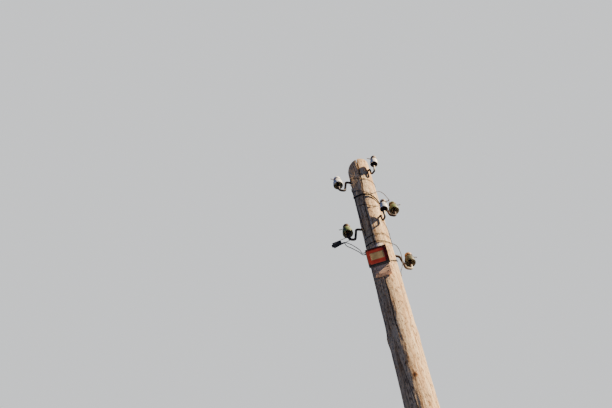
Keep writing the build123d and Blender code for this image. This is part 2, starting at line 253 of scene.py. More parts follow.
# The log is drawn up from two rings of vertices, with finer rows in its upper stretch.
stretches = []
for bottom, top, rows in ((0.0, fine_rows_from, coarse_rows),
                          (fine_rows_from, log_length, fine_rows)):
    ring = made(bpy.ops.mesh.primitive_circle_add, vertices=log_sides,
                radius=pole_radius(pole_height) * mm, location=(0, 0, bottom))
    bpy.ops.object.transform_apply()
    shape_with(ring, "SCREW", axis="Z", angle=0.0, screw_offset=top - bottom, steps=rows,
               render_steps=rows)
    stretches.append(ring)
timber_log = joined(stretches)
outwards(timber_log)
shape_with(timber_log, "SIMPLE_DEFORM", deform_method="TAPER", deform_axis="Z",
           factor=-pole_taper / 2 * log_length / pole_radius(pole_height))
press_noise(timber_log, sizes=(0.09, 0.09, 0.45), depth=0.004, octaves=2, level=0.85)
press_noise(timber_log, sizes=(0.012, 0.012, 0.12), depth=0.0022, octaves=3, level=0.75)
for bearing, below, size, height in swellings:
    swell(timber_log, skin(bearing, below), [size * mm] * 3, height * mm)
for bearing, below, size in knots:
    place = skin(bearing, below)
    swell(timber_log, place, [k * size * mm for k in (4, 4, 6)], knot_rise * mm)
    swell(timber_log, place, [k * size * mm for k in (1, 1, 1.3)], -knot_hollow * mm)

opened(timber_log)
fall = Vector((sin(roof_fall_bearing), -cos(roof_fall_bearing), 0.0))
saw = fall * sin(roof_slope) + Vector((0.0, 0.0, cos(roof_slope)))
bpy.ops.mesh.bisect(plane_co=spot(0, 0, pole_radius(0) * tan(roof_slope)), plane_no=saw,
                    use_fill=True, clear_outer=True)
bpy.ops.mesh.select_all(action="DESELECT")
bpy.ops.mesh.select_non_manifold()
bpy.ops.mesh.edge_face_add()
shut()
outwards(timber_log)

slits = []
chance = Random(11)
for number in range(slit_count):
    below = 90 + (pole_height - 500) * (number / slit_count) ** 1.35 + chance.uniform(-30, 30)
    bearing = number * golden_turn + chance.uniform(-12, 12)
    length = chance.uniform(70, 260)
    half_sizes = (chance.uniform(0.8, 1.5), chance.uniform(6, 11), length / 2)
    turn = (0, radians(chance.uniform(-3, 3)), radians(bearing))
    slits.append(lens_cutter(half_sizes, turn, skin(bearing, below), 8, 6))
for bearing, below, length in wire_marks:
    slits.append(lens_cutter((length / 2, mark_depth, mark_half_height), (0, 0, radians(bearing)),
                             skin(bearing, below), 16, 6))
for cutter in (check_cutter(main_check, width=9, depth=30),
               check_cutter(side_check, width=6, depth=22), joined(slits)):
    cut_away(timber_log, cutter)
outwards(timber_log)


def linear(code):
    """Linear colour of an sRGB hex code."""
    parts = [int(code[i:i + 2], 16) / 255 for i in (1, 3, 5)]
    return tuple(p / 12.92 if p <= 0.04045 else ((p + 0.055) / 1.055) ** 2.4
                 for p in parts) + (1.0,)


def add(tree, kind, output, settings):
    """Add one node and give its output; a setting is a value, a socket or ramp stops."""
    node = tree.nodes.new("ShaderNode" + kind)
    for name, value in settings.items():
        if name == "stops":
            ramp = node.color_ramp
            while len(ramp.elements) < len(value):
                ramp.elements.new(0.5)
            for element, (place, code) in zip(ramp.elements, value):
                element.position = place
                element.color = linear(code)
        elif isinstance(value, bpy.types.NodeSocket):
            tree.links.new(value, node.inputs[name])
        elif isinstance(name, int) or name in node.inputs:
            node.inputs[name].default_value = value
        else:
            setattr(node, name, value)
    return node.outputs[output] if output else None


def new_material(name, settings):
    """A material with constants set on its surface shader; gives it and its tree."""
    material = bpy.data.materials.new(name)
    material.use_nodes = True
    for key, value in settings.items():
        material.node_tree.nodes["Principled BSDF"].inputs[key].default_value = value
    return material, material.node_tree


def placed(tree, sizes, centre=(0, 0, 0)):
    """Object coordinates from a centre, scaled to a pattern's real sizes in metres."""
    here = add(tree, "TexCoord", "Object", {})
    shift = add(tree, "VectorMath", "Vector", {"operation": "SUBTRACT", 0: here, 1: centre})
    return add(tree, "Mapping", "Vector", {"Scale": [1 / size for size in sizes], "Vector": shift})


def clouds(tree, sizes, detail, rough, stops):
    """Clouds of real sizes in metres, and the tones that they take on."""
    cloud = add(tree, "TexNoise", "Fac", {
        "Vector": placed(tree, sizes), "Scale": 1.0, "Detail": detail, "Roughness": rough})
    return cloud, add(tree, "ValToRGB", "Color", {"Fac": cloud, "stops": stops})


def round_spot(tree, sizes, centre, stops):
    """Tones from the edge of a round place in to its centre."""
    nearness = add(tree, "TexGradient", "Fac", {
        "gradient_type": "SPHERICAL", "Vector": placed(tree, sizes, centre)})
    return add(tree, "ValToRGB", "Color", {"Fac": nearness, "stops": stops})


def facing_up(tree, stops):
    """Tones from faces that look level to faces that look up."""
    normal = add(tree, "NewGeometry", "Normal", {})
    upright = add(tree, "SeparateXYZ", "Z", {"Vector": normal})
    return add(tree, "ValToRGB", "Color", {"Fac": upright, "stops": stops})


def surfaced(tree, tone, layers=(), dullness=None, reliefs=()):
    """Lead a tone under layers of colour, a range of dullness and reliefs to the surface."""
    shader = tree.nodes["Principled BSDF"]
    for blend, share, colour in layers:
        tone = add(tree, "MixRGB", "Color", {
            "blend_type": blend, "Fac": share, "Color1": tone, "Color2": colour})
    tree.links.new(tone, shader.inputs["Base Color"])
    if dullness:
        value, low, high, least, most = dullness
        rough = add(tree, "MapRange", "Result", {
            "Value": value, "From Min": low, "From Max": high, "To Min": least, "To Max": most})
        tree.links.new(rough, shader.inputs["Roughness"])
    under = {}
    for height, strength, depth in reliefs:
        bump = add(tree, "Bump", "Normal", {
            "Height": height, "Strength": strength, "Distance": depth, **under})
        under = {"Normal": bump}
    if under:
        tree.links.new(bump, shader.inputs["Normal"])


def dressed(piece, name, material, nodes, smooth=None):
    """Smooth and name a finished piece, give it its material, attach it to the root body and hide
    the model parts that it stands for.
    """
    if smooth:
        alone(piece)
        bpy.ops.object.shade_smooth_by_angle(angle=radians(smooth))
    piece.name = name
    piece.data.name = name
    piece.data.materials.clear()
    piece.data.materials.append(material)
    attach(piece, "root")
    if nodes:
        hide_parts(*nodes)


# Weathered pine: raised grain a few millimetres wide, long streaks, hairline splits along
# the grain and round knots; bleached cream with brown latewood, dry and without gloss.
timber, tree = new_material("weathered_pine", {"Roughness": 0.88, "Specular IOR Level": 0.2})
fine, grain = clouds(tree, (0.005, 0.005, 0.12), 7.0, 0.62, [
    (0.32, "#7b6552"), (0.46, "#d2bfa4"), (0.60, "#ffffff")])
_, tone = clouds(tree, (0.020, 0.020, 0.42), 6.0, 0.62, [
    (0.28, "#93704f"), (0.41, "#cfab80"), (0.55, "#edd0a6"), (0.74, "#fbe6c2")])
patch, grey = clouds(tree, (0.055, 0.055, 0.13), 5.0, 0.6, [(0.46, "#000000"), (0.70, "#c8c8c8")])
fleck, dark = clouds(tree, (0.010, 0.010, 0.030), 3.0, 0.7, [(0.52, "#ffffff"), (0.66, "#86694f")])
split = add(tree, "TexVoronoi", "Distance", {
    "feature": "DISTANCE_TO_EDGE", "Vector": placed(tree, (0.016, 0.016, 0.30)), "Scale": 1.0})
crack = add(tree, "ValToRGB", "Color", {"Fac": split, "stops": [
    (0.0, "#3a2d24"), (0.045, "#ffffff")]})
crack_share = add(tree, "ValToRGB", "Color", {"Fac": patch, "stops": [
    (0.42, "#000000"), (0.62, "#d8d8d8")]})
layers = [("MULTIPLY", 0.55, grain), ("MIX", grey, linear("#d8c09c")), ("MULTIPLY", 0.9, dark),
          ("MULTIPLY", crack_share, crack)]
for bearing, below, size in knots:
    ring = round_spot(tree, [k * size * mm for k in (2.2, 2.2, 2.9)], skin(bearing, below), [
        (0.0, "#ffffff"), (0.35, "#cbb094"), (0.60, "#85664e"), (0.86, "#5b4433")])
    layers.append(("MULTIPLY", 1.0, ring))
# A pale patch above the box, where the bark side was shaved flat: painted sunlight on that flat
# spot
painted_light_patch = round_spot(tree, (0.034, 0.05, 0.020), skin(2, 1080), [(0.0, "#000000"), (0.45, "#e0e0e0")])
layers.append(("MIX", painted_light_patch, linear("#fdf3e4")))
# The sawn end shows the log's yearly rings, about three millimetres apart.
rings = add(tree, "TexWave", "Fac", {
    "wave_type": "RINGS", "rings_direction": "Z", "Vector": placed(tree, (0.022, 0.022, 1.0)),
    "Scale": 1.0, "Distortion": 1.2, "Detail": 3.0, "Detail Scale": 0.3})
end_tone = add(tree, "ValToRGB", "Color", {"Fac": rings, "stops": [
    (0.0, "#8f7a64"), (0.55, "#bba98f"), (1.0, "#d8c8ad")]})
layers.append(("MIX", facing_up(tree, [(0.70, "#000000"), (0.80, "#ffffff")]), end_tone))
surfaced(tree, tone, layers, reliefs=[(fine, 1.0, 0.0017), (fleck, 1.0, 0.0026)])
dressed(timber_log, "pole_timber", timber, ["pole_shaft"], smooth=38)


# Hooks. Six round steel bars, bent hot out, down and up again; the shank is screwed level
# into the timber and the upright pin carries the insulator. Their mill scale has rusted
# under what is left of old tar. The upper sides are painted paler, for dust and as painted
# light from above, and a few spots carry painted sunlit highlights.
hook_kinds = {
    "large": SimpleNamespace(bar=16, neck=38, drop=118, splay=20, reach=97, rise=60, bend=17,
                             lean=0),
    "small": SimpleNamespace(bar=13, neck=15, drop=74, splay=3, reach=48, rise=78, bend=13,
                             lean=8),
}
bell_kinds = {
    "large": SimpleNamespace(skirt=68, height=95, head=47, groove=38, wall=5.5),
    "small": SimpleNamespace(skirt=54, height=86, head=40, groove=32, wall=4.5),
}
# Bearing, distance below the pole's top, and kind of each hook with its insulator
fittings = {
    "top_right": (57, 153, "small"),
    "mid_right": (43, 762, "small"),
    "rear_upper": (118, 477, "large"),
    "rear_lower": (119, 1070, "large"),
    "left_upper": (-62, 236, "large"),
    "left_lower": (-67, 806, "large"),
}
pin_share = 0.62
shank_in_wood = 62


def outward(bearing, below):
    """Frame on the pole's axis with X out at a bearing and Z up."""
    return Matrix.Translation(spot(0, 0, below)) @ Matrix.Rotation(radians(bearing - 90), 4, "Z")


def pin_frame(bearing, below, kind, height):
    """Frame on a hook's pin at a height above its lower bend, Z along the pin."""
    size = hook_kinds[kind]
    foot = Vector(((pole_radius(below) + size.reach) * mm, 0, -size.drop * mm))
    return (outward(bearing, below) @ Matrix.Translation(foot)
            @ Matrix.Rotation(radians(size.lean), 4, "Y")
            @ Matrix.Translation((0, 0, height * mm)))


def set_down(piece, frame_of_piece):
    """Carry a piece to its frame and leave the place in its mesh."""
    alone(piece)
    bpy.context.view_layer.update()
    piece.matrix_world = frame_of_piece @ piece.matrix_world
    bpy.ops.object.transform_apply()


def drawn_bar(corners, bends, width):
    """Round bar drawn through corners in millimetres, with a bend at each of them."""
    sides, row, bend_steps = 18, 0.008, 8
    points = [Vector(corner) * mm for corner in corners]
    start = (points[1] - points[0]).to_track_quat("Z", "Y").to_euler()
    bar = made(bpy.ops.mesh.primitive_circle_add, vertices=sides, radius=width / 2 * mm,
               location=points[0], rotation=start)
    bpy.ops.object.transform_apply()
    opened(bar)
    here = points[0]
    legs = list(zip(points, points[1:], points[2:])) + [(points[-2], points[-1], None)]
    for (before, corner, after), bend in zip(legs, bends + [0]):
        ahead_now = (corner - before).normalized()
        turn, cut = 0.0, 0.0
        if after is not None:
            ahead_next = (after - corner).normalized()
            turn = ahead_now.angle(ahead_next)
            cut = bend * mm * tan(turn / 2)
        run = corner - ahead_now * cut - here
        rows = max(1, round(run.length / row))
        for _ in range(rows):
            extruded(run / rows)
        if after is not None:
            inward = (ahead_next - ahead_now * ahead_now.dot(ahead_next)).normalized()
            bpy.ops.mesh.spin(steps=bend_steps, angle=-turn, axis=ahead_now.cross(ahead_next),
                              center=corner - ahead_now * cut + inward * bend * mm)
            here = corner + ahead_next * cut
    bpy.ops.mesh.select_all(action="SELECT")
    bpy.ops.mesh.fill_holes(sides=0)
    shut()
    outwards(bar)
    return bar


# Hot-rolled steel: brown-black scale with orange rust in patches a centimetre wide, and
# dull, since the oxide scatters light.
rusted, tree = new_material("rusted_hot_rolled_steel", {"Metallic": 0.25})
blotch, tone = clouds(tree, (0.012, 0.012, 0.016), 5.0, 0.6, [
    (0.30, "#1d1715"), (0.45, "#33271f"), (0.58, "#50392a"), (0.74, "#755a46")])
pitting = add(tree, "TexNoise", "Fac", {
    "Vector": placed(tree, [0.0022] * 3), "Scale": 1.0, "Detail": 4.0, "Roughness": 0.7})
# Upward faces are mixed paler: dust that settles there, and painted light from above
layers = [("MIX", facing_up(tree, [(0.35, "#000000"), (0.95, "#606060")]), linear("#b3a18a"))]
# Painted sunlit highlights on the bars, over worn coating: hook, height along its pin and size in
# millimetres
for place, height, size in [("rear_lower", -6, 52), ("top_right", 40, 26), ("mid_right", 40, 26)]:
    centre = pin_frame(*fittings[place], height).translation
    share = round_spot(tree, [size * mm] * 3, centre, [(0.05, "#000000"), (0.45, "#d8d8d8")])
    layers.append(("MIX", share, linear("#d3c5a6")))
surfaced(tree, tone, layers, (blotch, 0.3, 0.7, 0.5, 0.85), [(pitting, 0.7, 0.0006)])

for place, (bearing, below, kind) in fittings.items():
    size = hook_kinds[kind]
    face = pole_radius(below)
    pin = size.rise + pin_share * bell_kinds[kind].height
    lean = radians(size.lean)
    bar = drawn_bar([(face - shank_in_wood, 0, 0), (face + size.neck, 0, 0),
                     (face + size.neck + size.splay, 0, -size.drop),
                     (face + size.reach, 0, -size.drop),
                     (face + size.reach + pin * sin(lean), 0, pin * cos(lean) - size.drop)],
                    [size.bend] * 3, size.bar)
    set_down(bar, outward(bearing, below))
    press_noise(bar, sizes=[0.014] * 3, depth=0.0010, octaves=2, level=0.6)
    dressed(bar, "forged_hook_" + place, rusted, ["hook_" + place], smooth=50)


# Insulators. Six porcelain bells, thrown and glazed in white, green or brown, screwed down
# over tarred tow on the hook pins: a skirt that sheds rain, a sleeve inside it, a groove
# for the tie wire and a rounded crown. The hollow is dull; it is painted dark in the small
# bells as painted shade, and paler than its glaze in the large ones as painted bounce light.
bell_sides = 48
bore_clear = 3
sleeve_wall = 4
crown_from = 0.70
hollow_to = 0.64


def turned_shape(rings, sides):
    """Closed shape drawn ring by ring, from radius and height pairs in millimetres."""
    shape = made(bpy.ops.mesh.primitive_circle_add, vertices=sides, radius=rings[0][0] * mm,
                 fill_type="NGON", location=(0, 0, rings[0][1] * mm))
    bpy.ops.object.transform_apply()
    opened(shape, "EDGE")
    for (width, height), (next_width, next_height) in zip(rings, rings[1:]):
        bpy.ops.mesh.extrude_edges_move(
            TRANSFORM_OT_translate={"value": (0, 0, (next_height - height) * mm)})
        bpy.ops.transform.resize(value=(next_width / width, next_width / width, 1),
                                 center_override=(0, 0, next_height * mm))
    bpy.ops.mesh.edge_face_add()
    shut()
    outwards(shape)
    return shape


def thrown_bell(kind):
    """Bell drawn ring by ring from the middle of its crown to its bore."""
    size = bell_kinds[kind]
    tall, rim, head, wall = size.height, size.skirt / 2, size.head / 2, size.wall
    neck = size.groove / 2
    bore = hook_kinds[kind].bar / 2 + bore_clear
    sleeve = bore + sleeve_wall
    inside = rim - wall
    rings = [
        (0.45 * head, tall), (0.75 * head, 0.985 * tall), (0.93 * head, 0.94 * tall),
        (head, 0.88 * tall), (head, 0.78 * tall), (0.97 * head, 0.745 * tall),
        (neck + 0.6, 0.70 * tall), (neck, 0.66 * tall), (neck + 0.6, 0.62 * tall),
        (head, 0.585 * tall), (head + 2.0, 0.565 * tall),
        (head + 0.42 * (rim - head), 0.51 * tall), (head + 0.74 * (rim - head), 0.40 * tall),
        (rim - 1.2, 0.25 * tall), (rim - 0.2, 0.10 * tall), (rim, 0.04 * tall),
        (rim - 0.35 * wall, 0.0), (rim - 0.75 * wall, 0.002 * tall), (inside, 0.04 * tall),
        (inside - 1.0, 0.16 * tall), (inside - 3.0, 0.34 * tall),
        ((sleeve + inside) / 2 + 0.5, 0.45 * tall), (sleeve + 0.8, 0.455 * tall),
        (sleeve, 0.43 * tall), (sleeve, 0.31 * tall), (sleeve - 1.2, 0.285 * tall),
        (bore + 1.0, 0.285 * tall), (bore, 0.31 * tall), (bore, 0.60 * tall),
        (0.6 * bore, 0.625 * tall),
    ]
    bell = turned_shape(rings, bell_sides)
    shape_with(bell, "SUBSURF", levels=1, render_levels=1)
    bpy.ops.object.shade_smooth()
    return bell


def glaze(name, tones, stain):
    """Porcelain glaze: clear gloss over a fired colour, with dust and rust runs."""
    material, tree = new_material(name, {
        "IOR": 1.52, "Specular IOR Level": 0.25, "Coat Weight": 0.06, "Coat Roughness": 0.2})
    _, tone = clouds(tree, (0.03, 0.03, 0.04), 3.0, 0.5, [(0.35, tones[0]), (0.65, tones[1])])
    runs, dirt = clouds(tree, (0.009, 0.009, 0.045), 5.0, 0.62, [
        (0.50, "#000000"), (0.72, "#b0b0b0")])
    surfaced(tree, tone, [("MIX", dirt, linear(stain))], (runs, 0.45, 0.75, 0.46, 0.75))
    return material


def clouded(name, settings, sizes, noise, stops, dullness=None, relief=None):
    """Finish whose tone, dullness and relief all follow clouds of real sizes in metres."""
    material, tree = new_material(name, settings)
    cloud, tone = clouds(tree, sizes, *noise, stops)
    surfaced(tree, tone, (), dullness and (cloud, *dullness), [(cloud, *relief)] if relief else ())
    return material


# Inside of a bell: fired clay in centimetre clouds, quite dull; the small bells' hollows are
# painted dark as painted shade, the large ones' paler than their glaze as painted bounce light
unglazed = {"Roughness": 0.92, "Specular IOR Level": 0.2}
hollows = {
    "small": clouded("bisque_painted_dark_for_shade", unglazed, [0.008] * 3, (4.0, 0.6),
                     [(0.35, "#4a3a30"), (0.65, "#6b5648")]),
    "large": clouded("olive_bisque_painted_pale_for_bounce", unglazed, [0.008] * 3, (4.0, 0.6),
                     [(0.35, "#8a8060"), (0.65, "#b0a37c")]),
}
white_glaze = glaze("white_porcelain_glaze", ("#e8e3d6", "#f6f3ea"), "#a08c74")
green_glaze = glaze("green_porcelain_glaze", ("#59653c", "#7b8855"), "#453c26")
brown_glaze = glaze("olive_porcelain_glaze", ("#46452f", "#646245"), "#3c2d1c")
# The small bells' crowns above the tie are tinted brownish-grey, partly as painted shade
brownish_shaded_crown = glaze("brownish_crown_painted_shade", ("#7d6a5c", "#9a8674"), "#5d4a3a")
rusty_crown = glaze("rust_stained_crown", ("#a8743f", "#c79a63"), "#6d4526")
tarry_crown = glaze("tar_stained_crown", ("#4c3e2c", "#6d5c40"), "#33271b")
# Glaze, finish of the crown above the tie, and slot of each bell
glazes = {
    "top_right": (white_glaze, brownish_shaded_crown, "white_porcelain"),
    "mid_right": (white_glaze, brownish_shaded_crown, "white_porcelain"),
    "rear_upper": (green_glaze, green_glaze, "green_porcelain"),
    "rear_lower": (brown_glaze, rusty_crown, "brown_porcelain"),
    "left_upper": (white_glaze, white_glaze, "white_porcelain"),
    "left_lower": (green_glaze, tarry_crown, "green_porcelain"),
}

for place, (bearing, below, kind) in fittings.items():
    bell = thrown_bell(kind)
    inner = bell_kinds[kind].skirt / 2 - bell_kinds[kind].wall * 0.6
    tall = bell_kinds[kind].height * mm
    finish, crown, slot_name = glazes[place]
    set_down(bell, Matrix.Identity(4))
    dressed(bell, "bell_" + place, finish, ["insulator_" + place])
    bell.data.materials.append(hollows[kind])
    bell.data.materials.append(crown)
    # The crown above the tie and the faces inside the skirt have finishes of their own; the inside
    # faces carry the painted shade of the small hollows and the painted bounce light of the large
    # ones
    for face in bell.data.polygons:
        middle = face.center
        if middle.z > crown_from * tall:
            face.material_index = 2
        elif middle.xy.length < inner * mm and middle.z < hollow_to * tall:
            away = middle.xy.normalized().dot(face.normal.xy)
            if away < 0.3 or middle.xy.length < (inner - 6) * mm:
                face.material_index = 1
    set_down(bell, pin_frame(bearing, below, kind, hook_kinds[kind].rise))


# Tie wires. Soft iron wire, rusted brown: each is wound four or five turns round an
# insulator's neck, and its two ends are twisted together and left short.
tie_wire = 3.2
tie_turns = {"large": 5, "small": 4}
tie_clear = 0.4
tie_pitch = tie_wire * 0.92
tie_flare = 3.8
tie_tail = 30
tail_drop = 4.5
turn_steps = 16
tail_steps = 14
tail_twists = 2.4
neck_share = 0.66


def tie_points(kind):
    """Centreline of a tie in millimetres: one tail, its close turns and the other tail."""
    ring = bell_kinds[kind].groove / 2 + tie_wire / 2 + tie_clear
    turns = tie_turns[kind]
    wound, tail = [], []
    for i in range(turns * turn_steps + 1):
        a = 2 * pi * i / turn_steps
        climb = tie_pitch * (i / turn_steps - turns / 2)
        reach = ring + tie_flare * (2 * i / turn_steps / turns - 1) ** 4
        wound.append(Vector((reach * cos(a), reach * sin(a), climb)))
    lay = tie_wire * 0.55
    for i in range(1, tail_steps + 1):
        share = i / tail_steps
        a = 2 * pi * tail_twists * share
        tail.append(Vector((ring + tie_tail * share, lay * cos(a),
                            lay * sin(a) - tail_drop * (1 - share))))
    return tail[::-1] + wound + [Vector((p.x, -p.y, -p.z)) for p in tail]


def bent_line(name, points, width, roundness, steps):
    """Round line bent smoothly along points in metres."""
    line = bpy.data.curves.new(name, "CURVE")
    line.dimensions = "3D"
    line.bevel_depth = width / 2 * mm
    line.bevel_resolution = roundness
    line.use_fill_caps = True
    run = line.splines.new("NURBS")
    run.points.add(len(points) - 1)
    for target, point in zip(run.points, points):
        target.co = (*point, 1.0)
    run.order_u = 3
    run.use_endpoint_u = True
    run.resolution_u = steps
    wire = bpy.data.objects.new(name, line)
    bpy.context.scene.collection.objects.link(wire)
    return wire


def wire_along(name, points, width, steps=4):
    """Bent wire as a closed mesh."""
    alone(bent_line(name, points, width, 2, steps))
    bpy.ops.object.convert(target="MESH")
    wire = bpy.context.object
    outwards(wire)
    bpy.ops.object.shade_smooth_by_angle(angle=radians(60))
    return wire


# Rusted iron wire: orange-brown bloom over grey, in blotches a few millimetres wide.
iron = clouded("rusted_iron_wire", {"Metallic": 0.2}, [0.006] * 3, (4.0, 0.65),
               [(0.34, "#3c2c22"), (0.48, "#77512f"), (0.66, "#a97c50")], (0.3, 0.7, 0.45, 0.8))
# Degrees that a tie's tails are turned from straight away from the pole
tail_turns = {"top_right": -118, "mid_right": 25, "rear_upper": -20, "rear_lower": -10,
              "left_upper": 10, "left_lower": -15}
for place, (bearing, below, kind) in fittings.items():
    neck = hook_kinds[kind].rise + neck_share * bell_kinds[kind].height
    here = pin_frame(bearing, below, kind, neck) @ Matrix.Rotation(
        radians(tail_turns[place]), 4, "Z")
    tie = wire_along("wound_tie_" + place, [here @ (p * mm) for p in tie_points(kind)], tie_wire)
    dressed(tie, "wound_tie_" + place, iron, ["neck_tie_" + place])


# Tow. Six wads of tarred hemp, wound on the hook pins before the insulators are screwed
# down, so that iron and porcelain can't split each other. Black-brown, fuzzy and dull.
strand = 2.7
strand_steps = 9
strand_clear = 0.2
wad_from = 0.27
wad_to = 0.585

tarred = clouded("tarred_hemp_tow", {"Roughness": 0.95}, (0.0015, 0.0015, 0.0008), (5.0, 0.7),
                 [(0.35, "#1c140d"), (0.65, "#4d3b28")], relief=(0.8, 0.0005))
wads = []
for place, (bearing, below, kind) in fittings.items():
    tall = bell_kinds[kind].height
    low = hook_kinds[kind].rise + wad_from * tall
    high = hook_kinds[kind].rise + wad_to * tall
    ring = hook_kinds[kind].bar / 2 + strand / 2 + strand_clear
    here = pin_frame(bearing, below, kind, 0)
    wound = []
    for i in range(int((high - low) / strand) * strand_steps + 1):
        a = 2 * pi * i / strand_steps
        climb = low + strand * i / strand_steps
        wound.append(here @ (Vector((ring * cos(a), ring * sin(a), climb)) * mm))
    wads.append(wire_along("tow", wound, strand, 2))
tow = joined(wads)
press_noise(tow, sizes=[0.002] * 3, depth=0.0006, octaves=2, level=0.6)
dressed(tow, "wound_tow", tarred, ["pin_packings"])


# Board. A short length of old sawn softwood, its grain lying level, hollowed at the back
# to sit on the round pole and nailed to it; brown-grey, with raised grain and splits.
box_centre_x = -18.5
box_below_top = 1239
box_width = 128
box_height = 162
box_depth = 12
box_tilt = radians(-0.5)
board_width = 99
board_thickness = 26
board_shift = 7
board_face = pole_radius(box_below_top + box_height / 2) + 23
board_top = box_height / 2 - 12
board_bottom = -box_height / 2 - 77
seat_gap = 0.3
fixed_frame = (Matrix.Translation(spot(box_centre_x, 0, box_below_top))
               @ Matrix.Rotation(box_tilt, 4, "Y"))

board = made(bpy.ops.mesh.primitive_grid_add, x_subdivisions=30, y_subdivisions=60, size=1.0)
board.scale = (board_width * mm, (board_top - board_bottom) * mm, 1)
board.rotation_euler = (pi / 2, 0, 0)
board.location = Vector((board_shift, -board_face, (board_top + board_bottom) / 2)) * mm
bpy.ops.object.transform_apply()
opened(board)
extruded((0, board_thickness * mm, 0))
shut()
outwards(board)
shape_with(board, "BEVEL", width=1.2 * mm, segments=2, limit_method="ANGLE")
set_down(board, fixed_frame)
press_noise(board, sizes=(0.06, 0.02, 0.005), depth=0.0016, octaves=3, level=1.0)
outwards(board)
log_round = made(bpy.ops.mesh.primitive_cone_add, vertices=96,
                 radius1=(pole_radius(pole_height) + seat_gap) * mm,
                 radius2=(pole_radius(0) + seat_gap) * mm, depth=pole_height * mm,
                 location=(0, 0, pole_height / 2 * mm))
cut_away(board, log_round)
# Long splits open along the grain below the box, and one runs out at the board's lower
# edge: place across and up, length and turn of each
board_splits = [(2, -111, 70, 5), (22, -133, 52, 3), (-14, -146, 60, -4)]
for x, z, length, turn in board_splits:
    split_cutter = lens_cutter((length / 2, 9, 1.3), (0, radians(turn), 0),
                               Vector((x, -board_face, z)) * mm, 10, 8)
    set_down(split_cutter, fixed_frame)
    cut_away(board, split_cutter)

# Old pine board: level grain with dark latewood every few millimetres, dirt in streaks and
# a pinkish brown tone, without gloss.
board_pine, tree = new_material("aged_sawn_pine", {"Roughness": 0.9, "Specular IOR Level": 0.2})
level_grain, tone = clouds(tree, (0.09, 0.03, 0.005), 6.0, 0.65, [
    (0.33, "#96694a"), (0.44, "#efb98e"), (0.62, "#ffdab0")])
_, dirt = clouds(tree, (0.12, 0.05, 0.020), 4.0, 0.6, [(0.42, "#5d4636"), (0.50, "#ffffff")])
surfaced(tree, tone, [("MULTIPLY", 0.6, dirt)], reliefs=[(level_grain, 0.8, 0.0012)])
dressed(board, "saddled_board", board_pine, ["mounting_board"], smooth=35)

# Wire nails with flat rusted heads, two at each side of the board's lower end
nail_rings = [(0.4, 1.0), (3.2, 0.8), (3.7, 0.3), (3.7, -0.6), (1.5, -1.2), (1.5, -9.0),
              (0.3, -12.0)]
nails = []
for x, z in ((-26, -104), (44, -108), (-20, -148), (40, -150)):
    nail = turned_shape(nail_rings, 14)
    set_down(nail, fixed_frame @ Matrix.Translation(Vector((x, -board_face + 0.6, z)) * mm)
             @ Matrix.Rotation(pi / 2, 4, "X"))
    nails.append(nail)
dressed(joined(nails), "board_nails", rusted, [], smooth=40)


# Terminal box. A shallow cast tray shut by a pressed cover: a black rim, a wide border in
# red enamel and a sunk field in tan, held by four screws. The enamel is faded and has
# chipped in spots down to its ground coat.
box_back = board_face + seat_gap
box_front = box_back + box_depth + seat_gap
plate_corner = 4
rim_depth = 6.5
rim_width = 3.5
clear = rim_width + seat_gap
cover_thickness = 4
border_side = 23
border_end = 46
field_depth = 2.5
panel_thickness = 2
screw_across = 52
screw_up = 67


def cut_block(width, thickness, height, centre):
    """Block in millimetres about a centre."""
    block = made(bpy.ops.mesh.primitive_cube_add, size=1.0)
    block.scale = Vector((width, thickness, height)) * mm
    block.location = Vector(centre) * mm
    bpy.ops.object.transform_apply()
    return block


def painted(name, tones, under, rough, chips):
    """Faded paint over an undercoat that shows where it has chipped off."""
    material, tree = new_material(name, {"IOR": 1.5, "Specular IOR Level": 0.25})
    fade, tone = clouds(tree, (0.035, 0.035, 0.05), 4.0, 0.55, [(0.34, tones[0]), (0.64, tones[1])])
    speck, chipped = clouds(tree, (0.005, 0.005, 0.006), 5.0, 0.7, [
        (chips, "#000000"), (chips + 0.03, "#ffffff")])
    surfaced(tree, tone, [("MIX", chipped, linear(under))],
             (fade, 0.35, 0.7, rough, rough + 0.25), [(speck, 0.35, 0.0003)])
    return material


def edge_rounded(piece, width, steps=2):
    """Round all sharp edges of a piece, smooth its faces and keep the broad ones flat."""
    shape_with(piece, "BEVEL", width=width * mm, segments=steps, limit_method="ANGLE")
    alone(piece)
    bpy.ops.object.shade_smooth_by_angle(angle=radians(35))
    shape_with(piece, "WEIGHTED_NORMAL", keep_sharp=True)


def round_corners(piece, width):
    """Round the four corners of an upright plate that run front to back."""
    opened(piece)
    pick(piece, "EDGE",
         lambda edge: abs((edge.verts[1].co - edge.verts[0].co).normalized().y) > 0.99)
    bpy.ops.mesh.bevel(offset=width * mm, segments=4)
    shut()


def front_inset(piece, border, depth, height=1.0):
    """Inset a piece's front face by a border, scale its height and push it in by a depth."""
    opened(piece)
    pick(piece, "FACE", lambda face: face.normal.y < -0.99)
    bpy.ops.mesh.inset(thickness=border * mm, depth=0)
    bpy.ops.transform.resize(value=(1, 1, height), center_override=(0, 0, 0))
    extruded((0, depth * mm, 0))
    shut()


tray = cut_block(box_width, box_depth, box_height, (0, -box_back - box_depth / 2, 0))
round_corners(tray, plate_corner)
front_inset(tray, 4, 8)
edge_rounded(tray, 0.5)
set_down(tray, fixed_frame)
grey_paint = painted("grey_casting_paint", ("#45423e", "#5e5954"), "#332b25", 0.6, 0.66)
dressed(tray, "cast_tray", grey_paint, ["box_body"])

rim = cut_block(box_width, rim_depth, box_height, (0, -box_front - rim_depth / 2, 0))
round_corners(rim, plate_corner)
opening = cut_block(box_width - 2 * rim_width, 4 * rim_depth, box_height - 2 * rim_width,
                    (0, -box_front, 0))
cut_away(rim, opening, solver="EXACT")
edge_rounded(rim, 0.8, 3)
set_down(rim, fixed_frame)
black_paint = painted("black_rim_enamel", ("#1a1c1b", "#323634"), "#7d827c", 0.6, 0.66)
dressed(rim, "pressed_rim", black_paint, ["box_rim"])

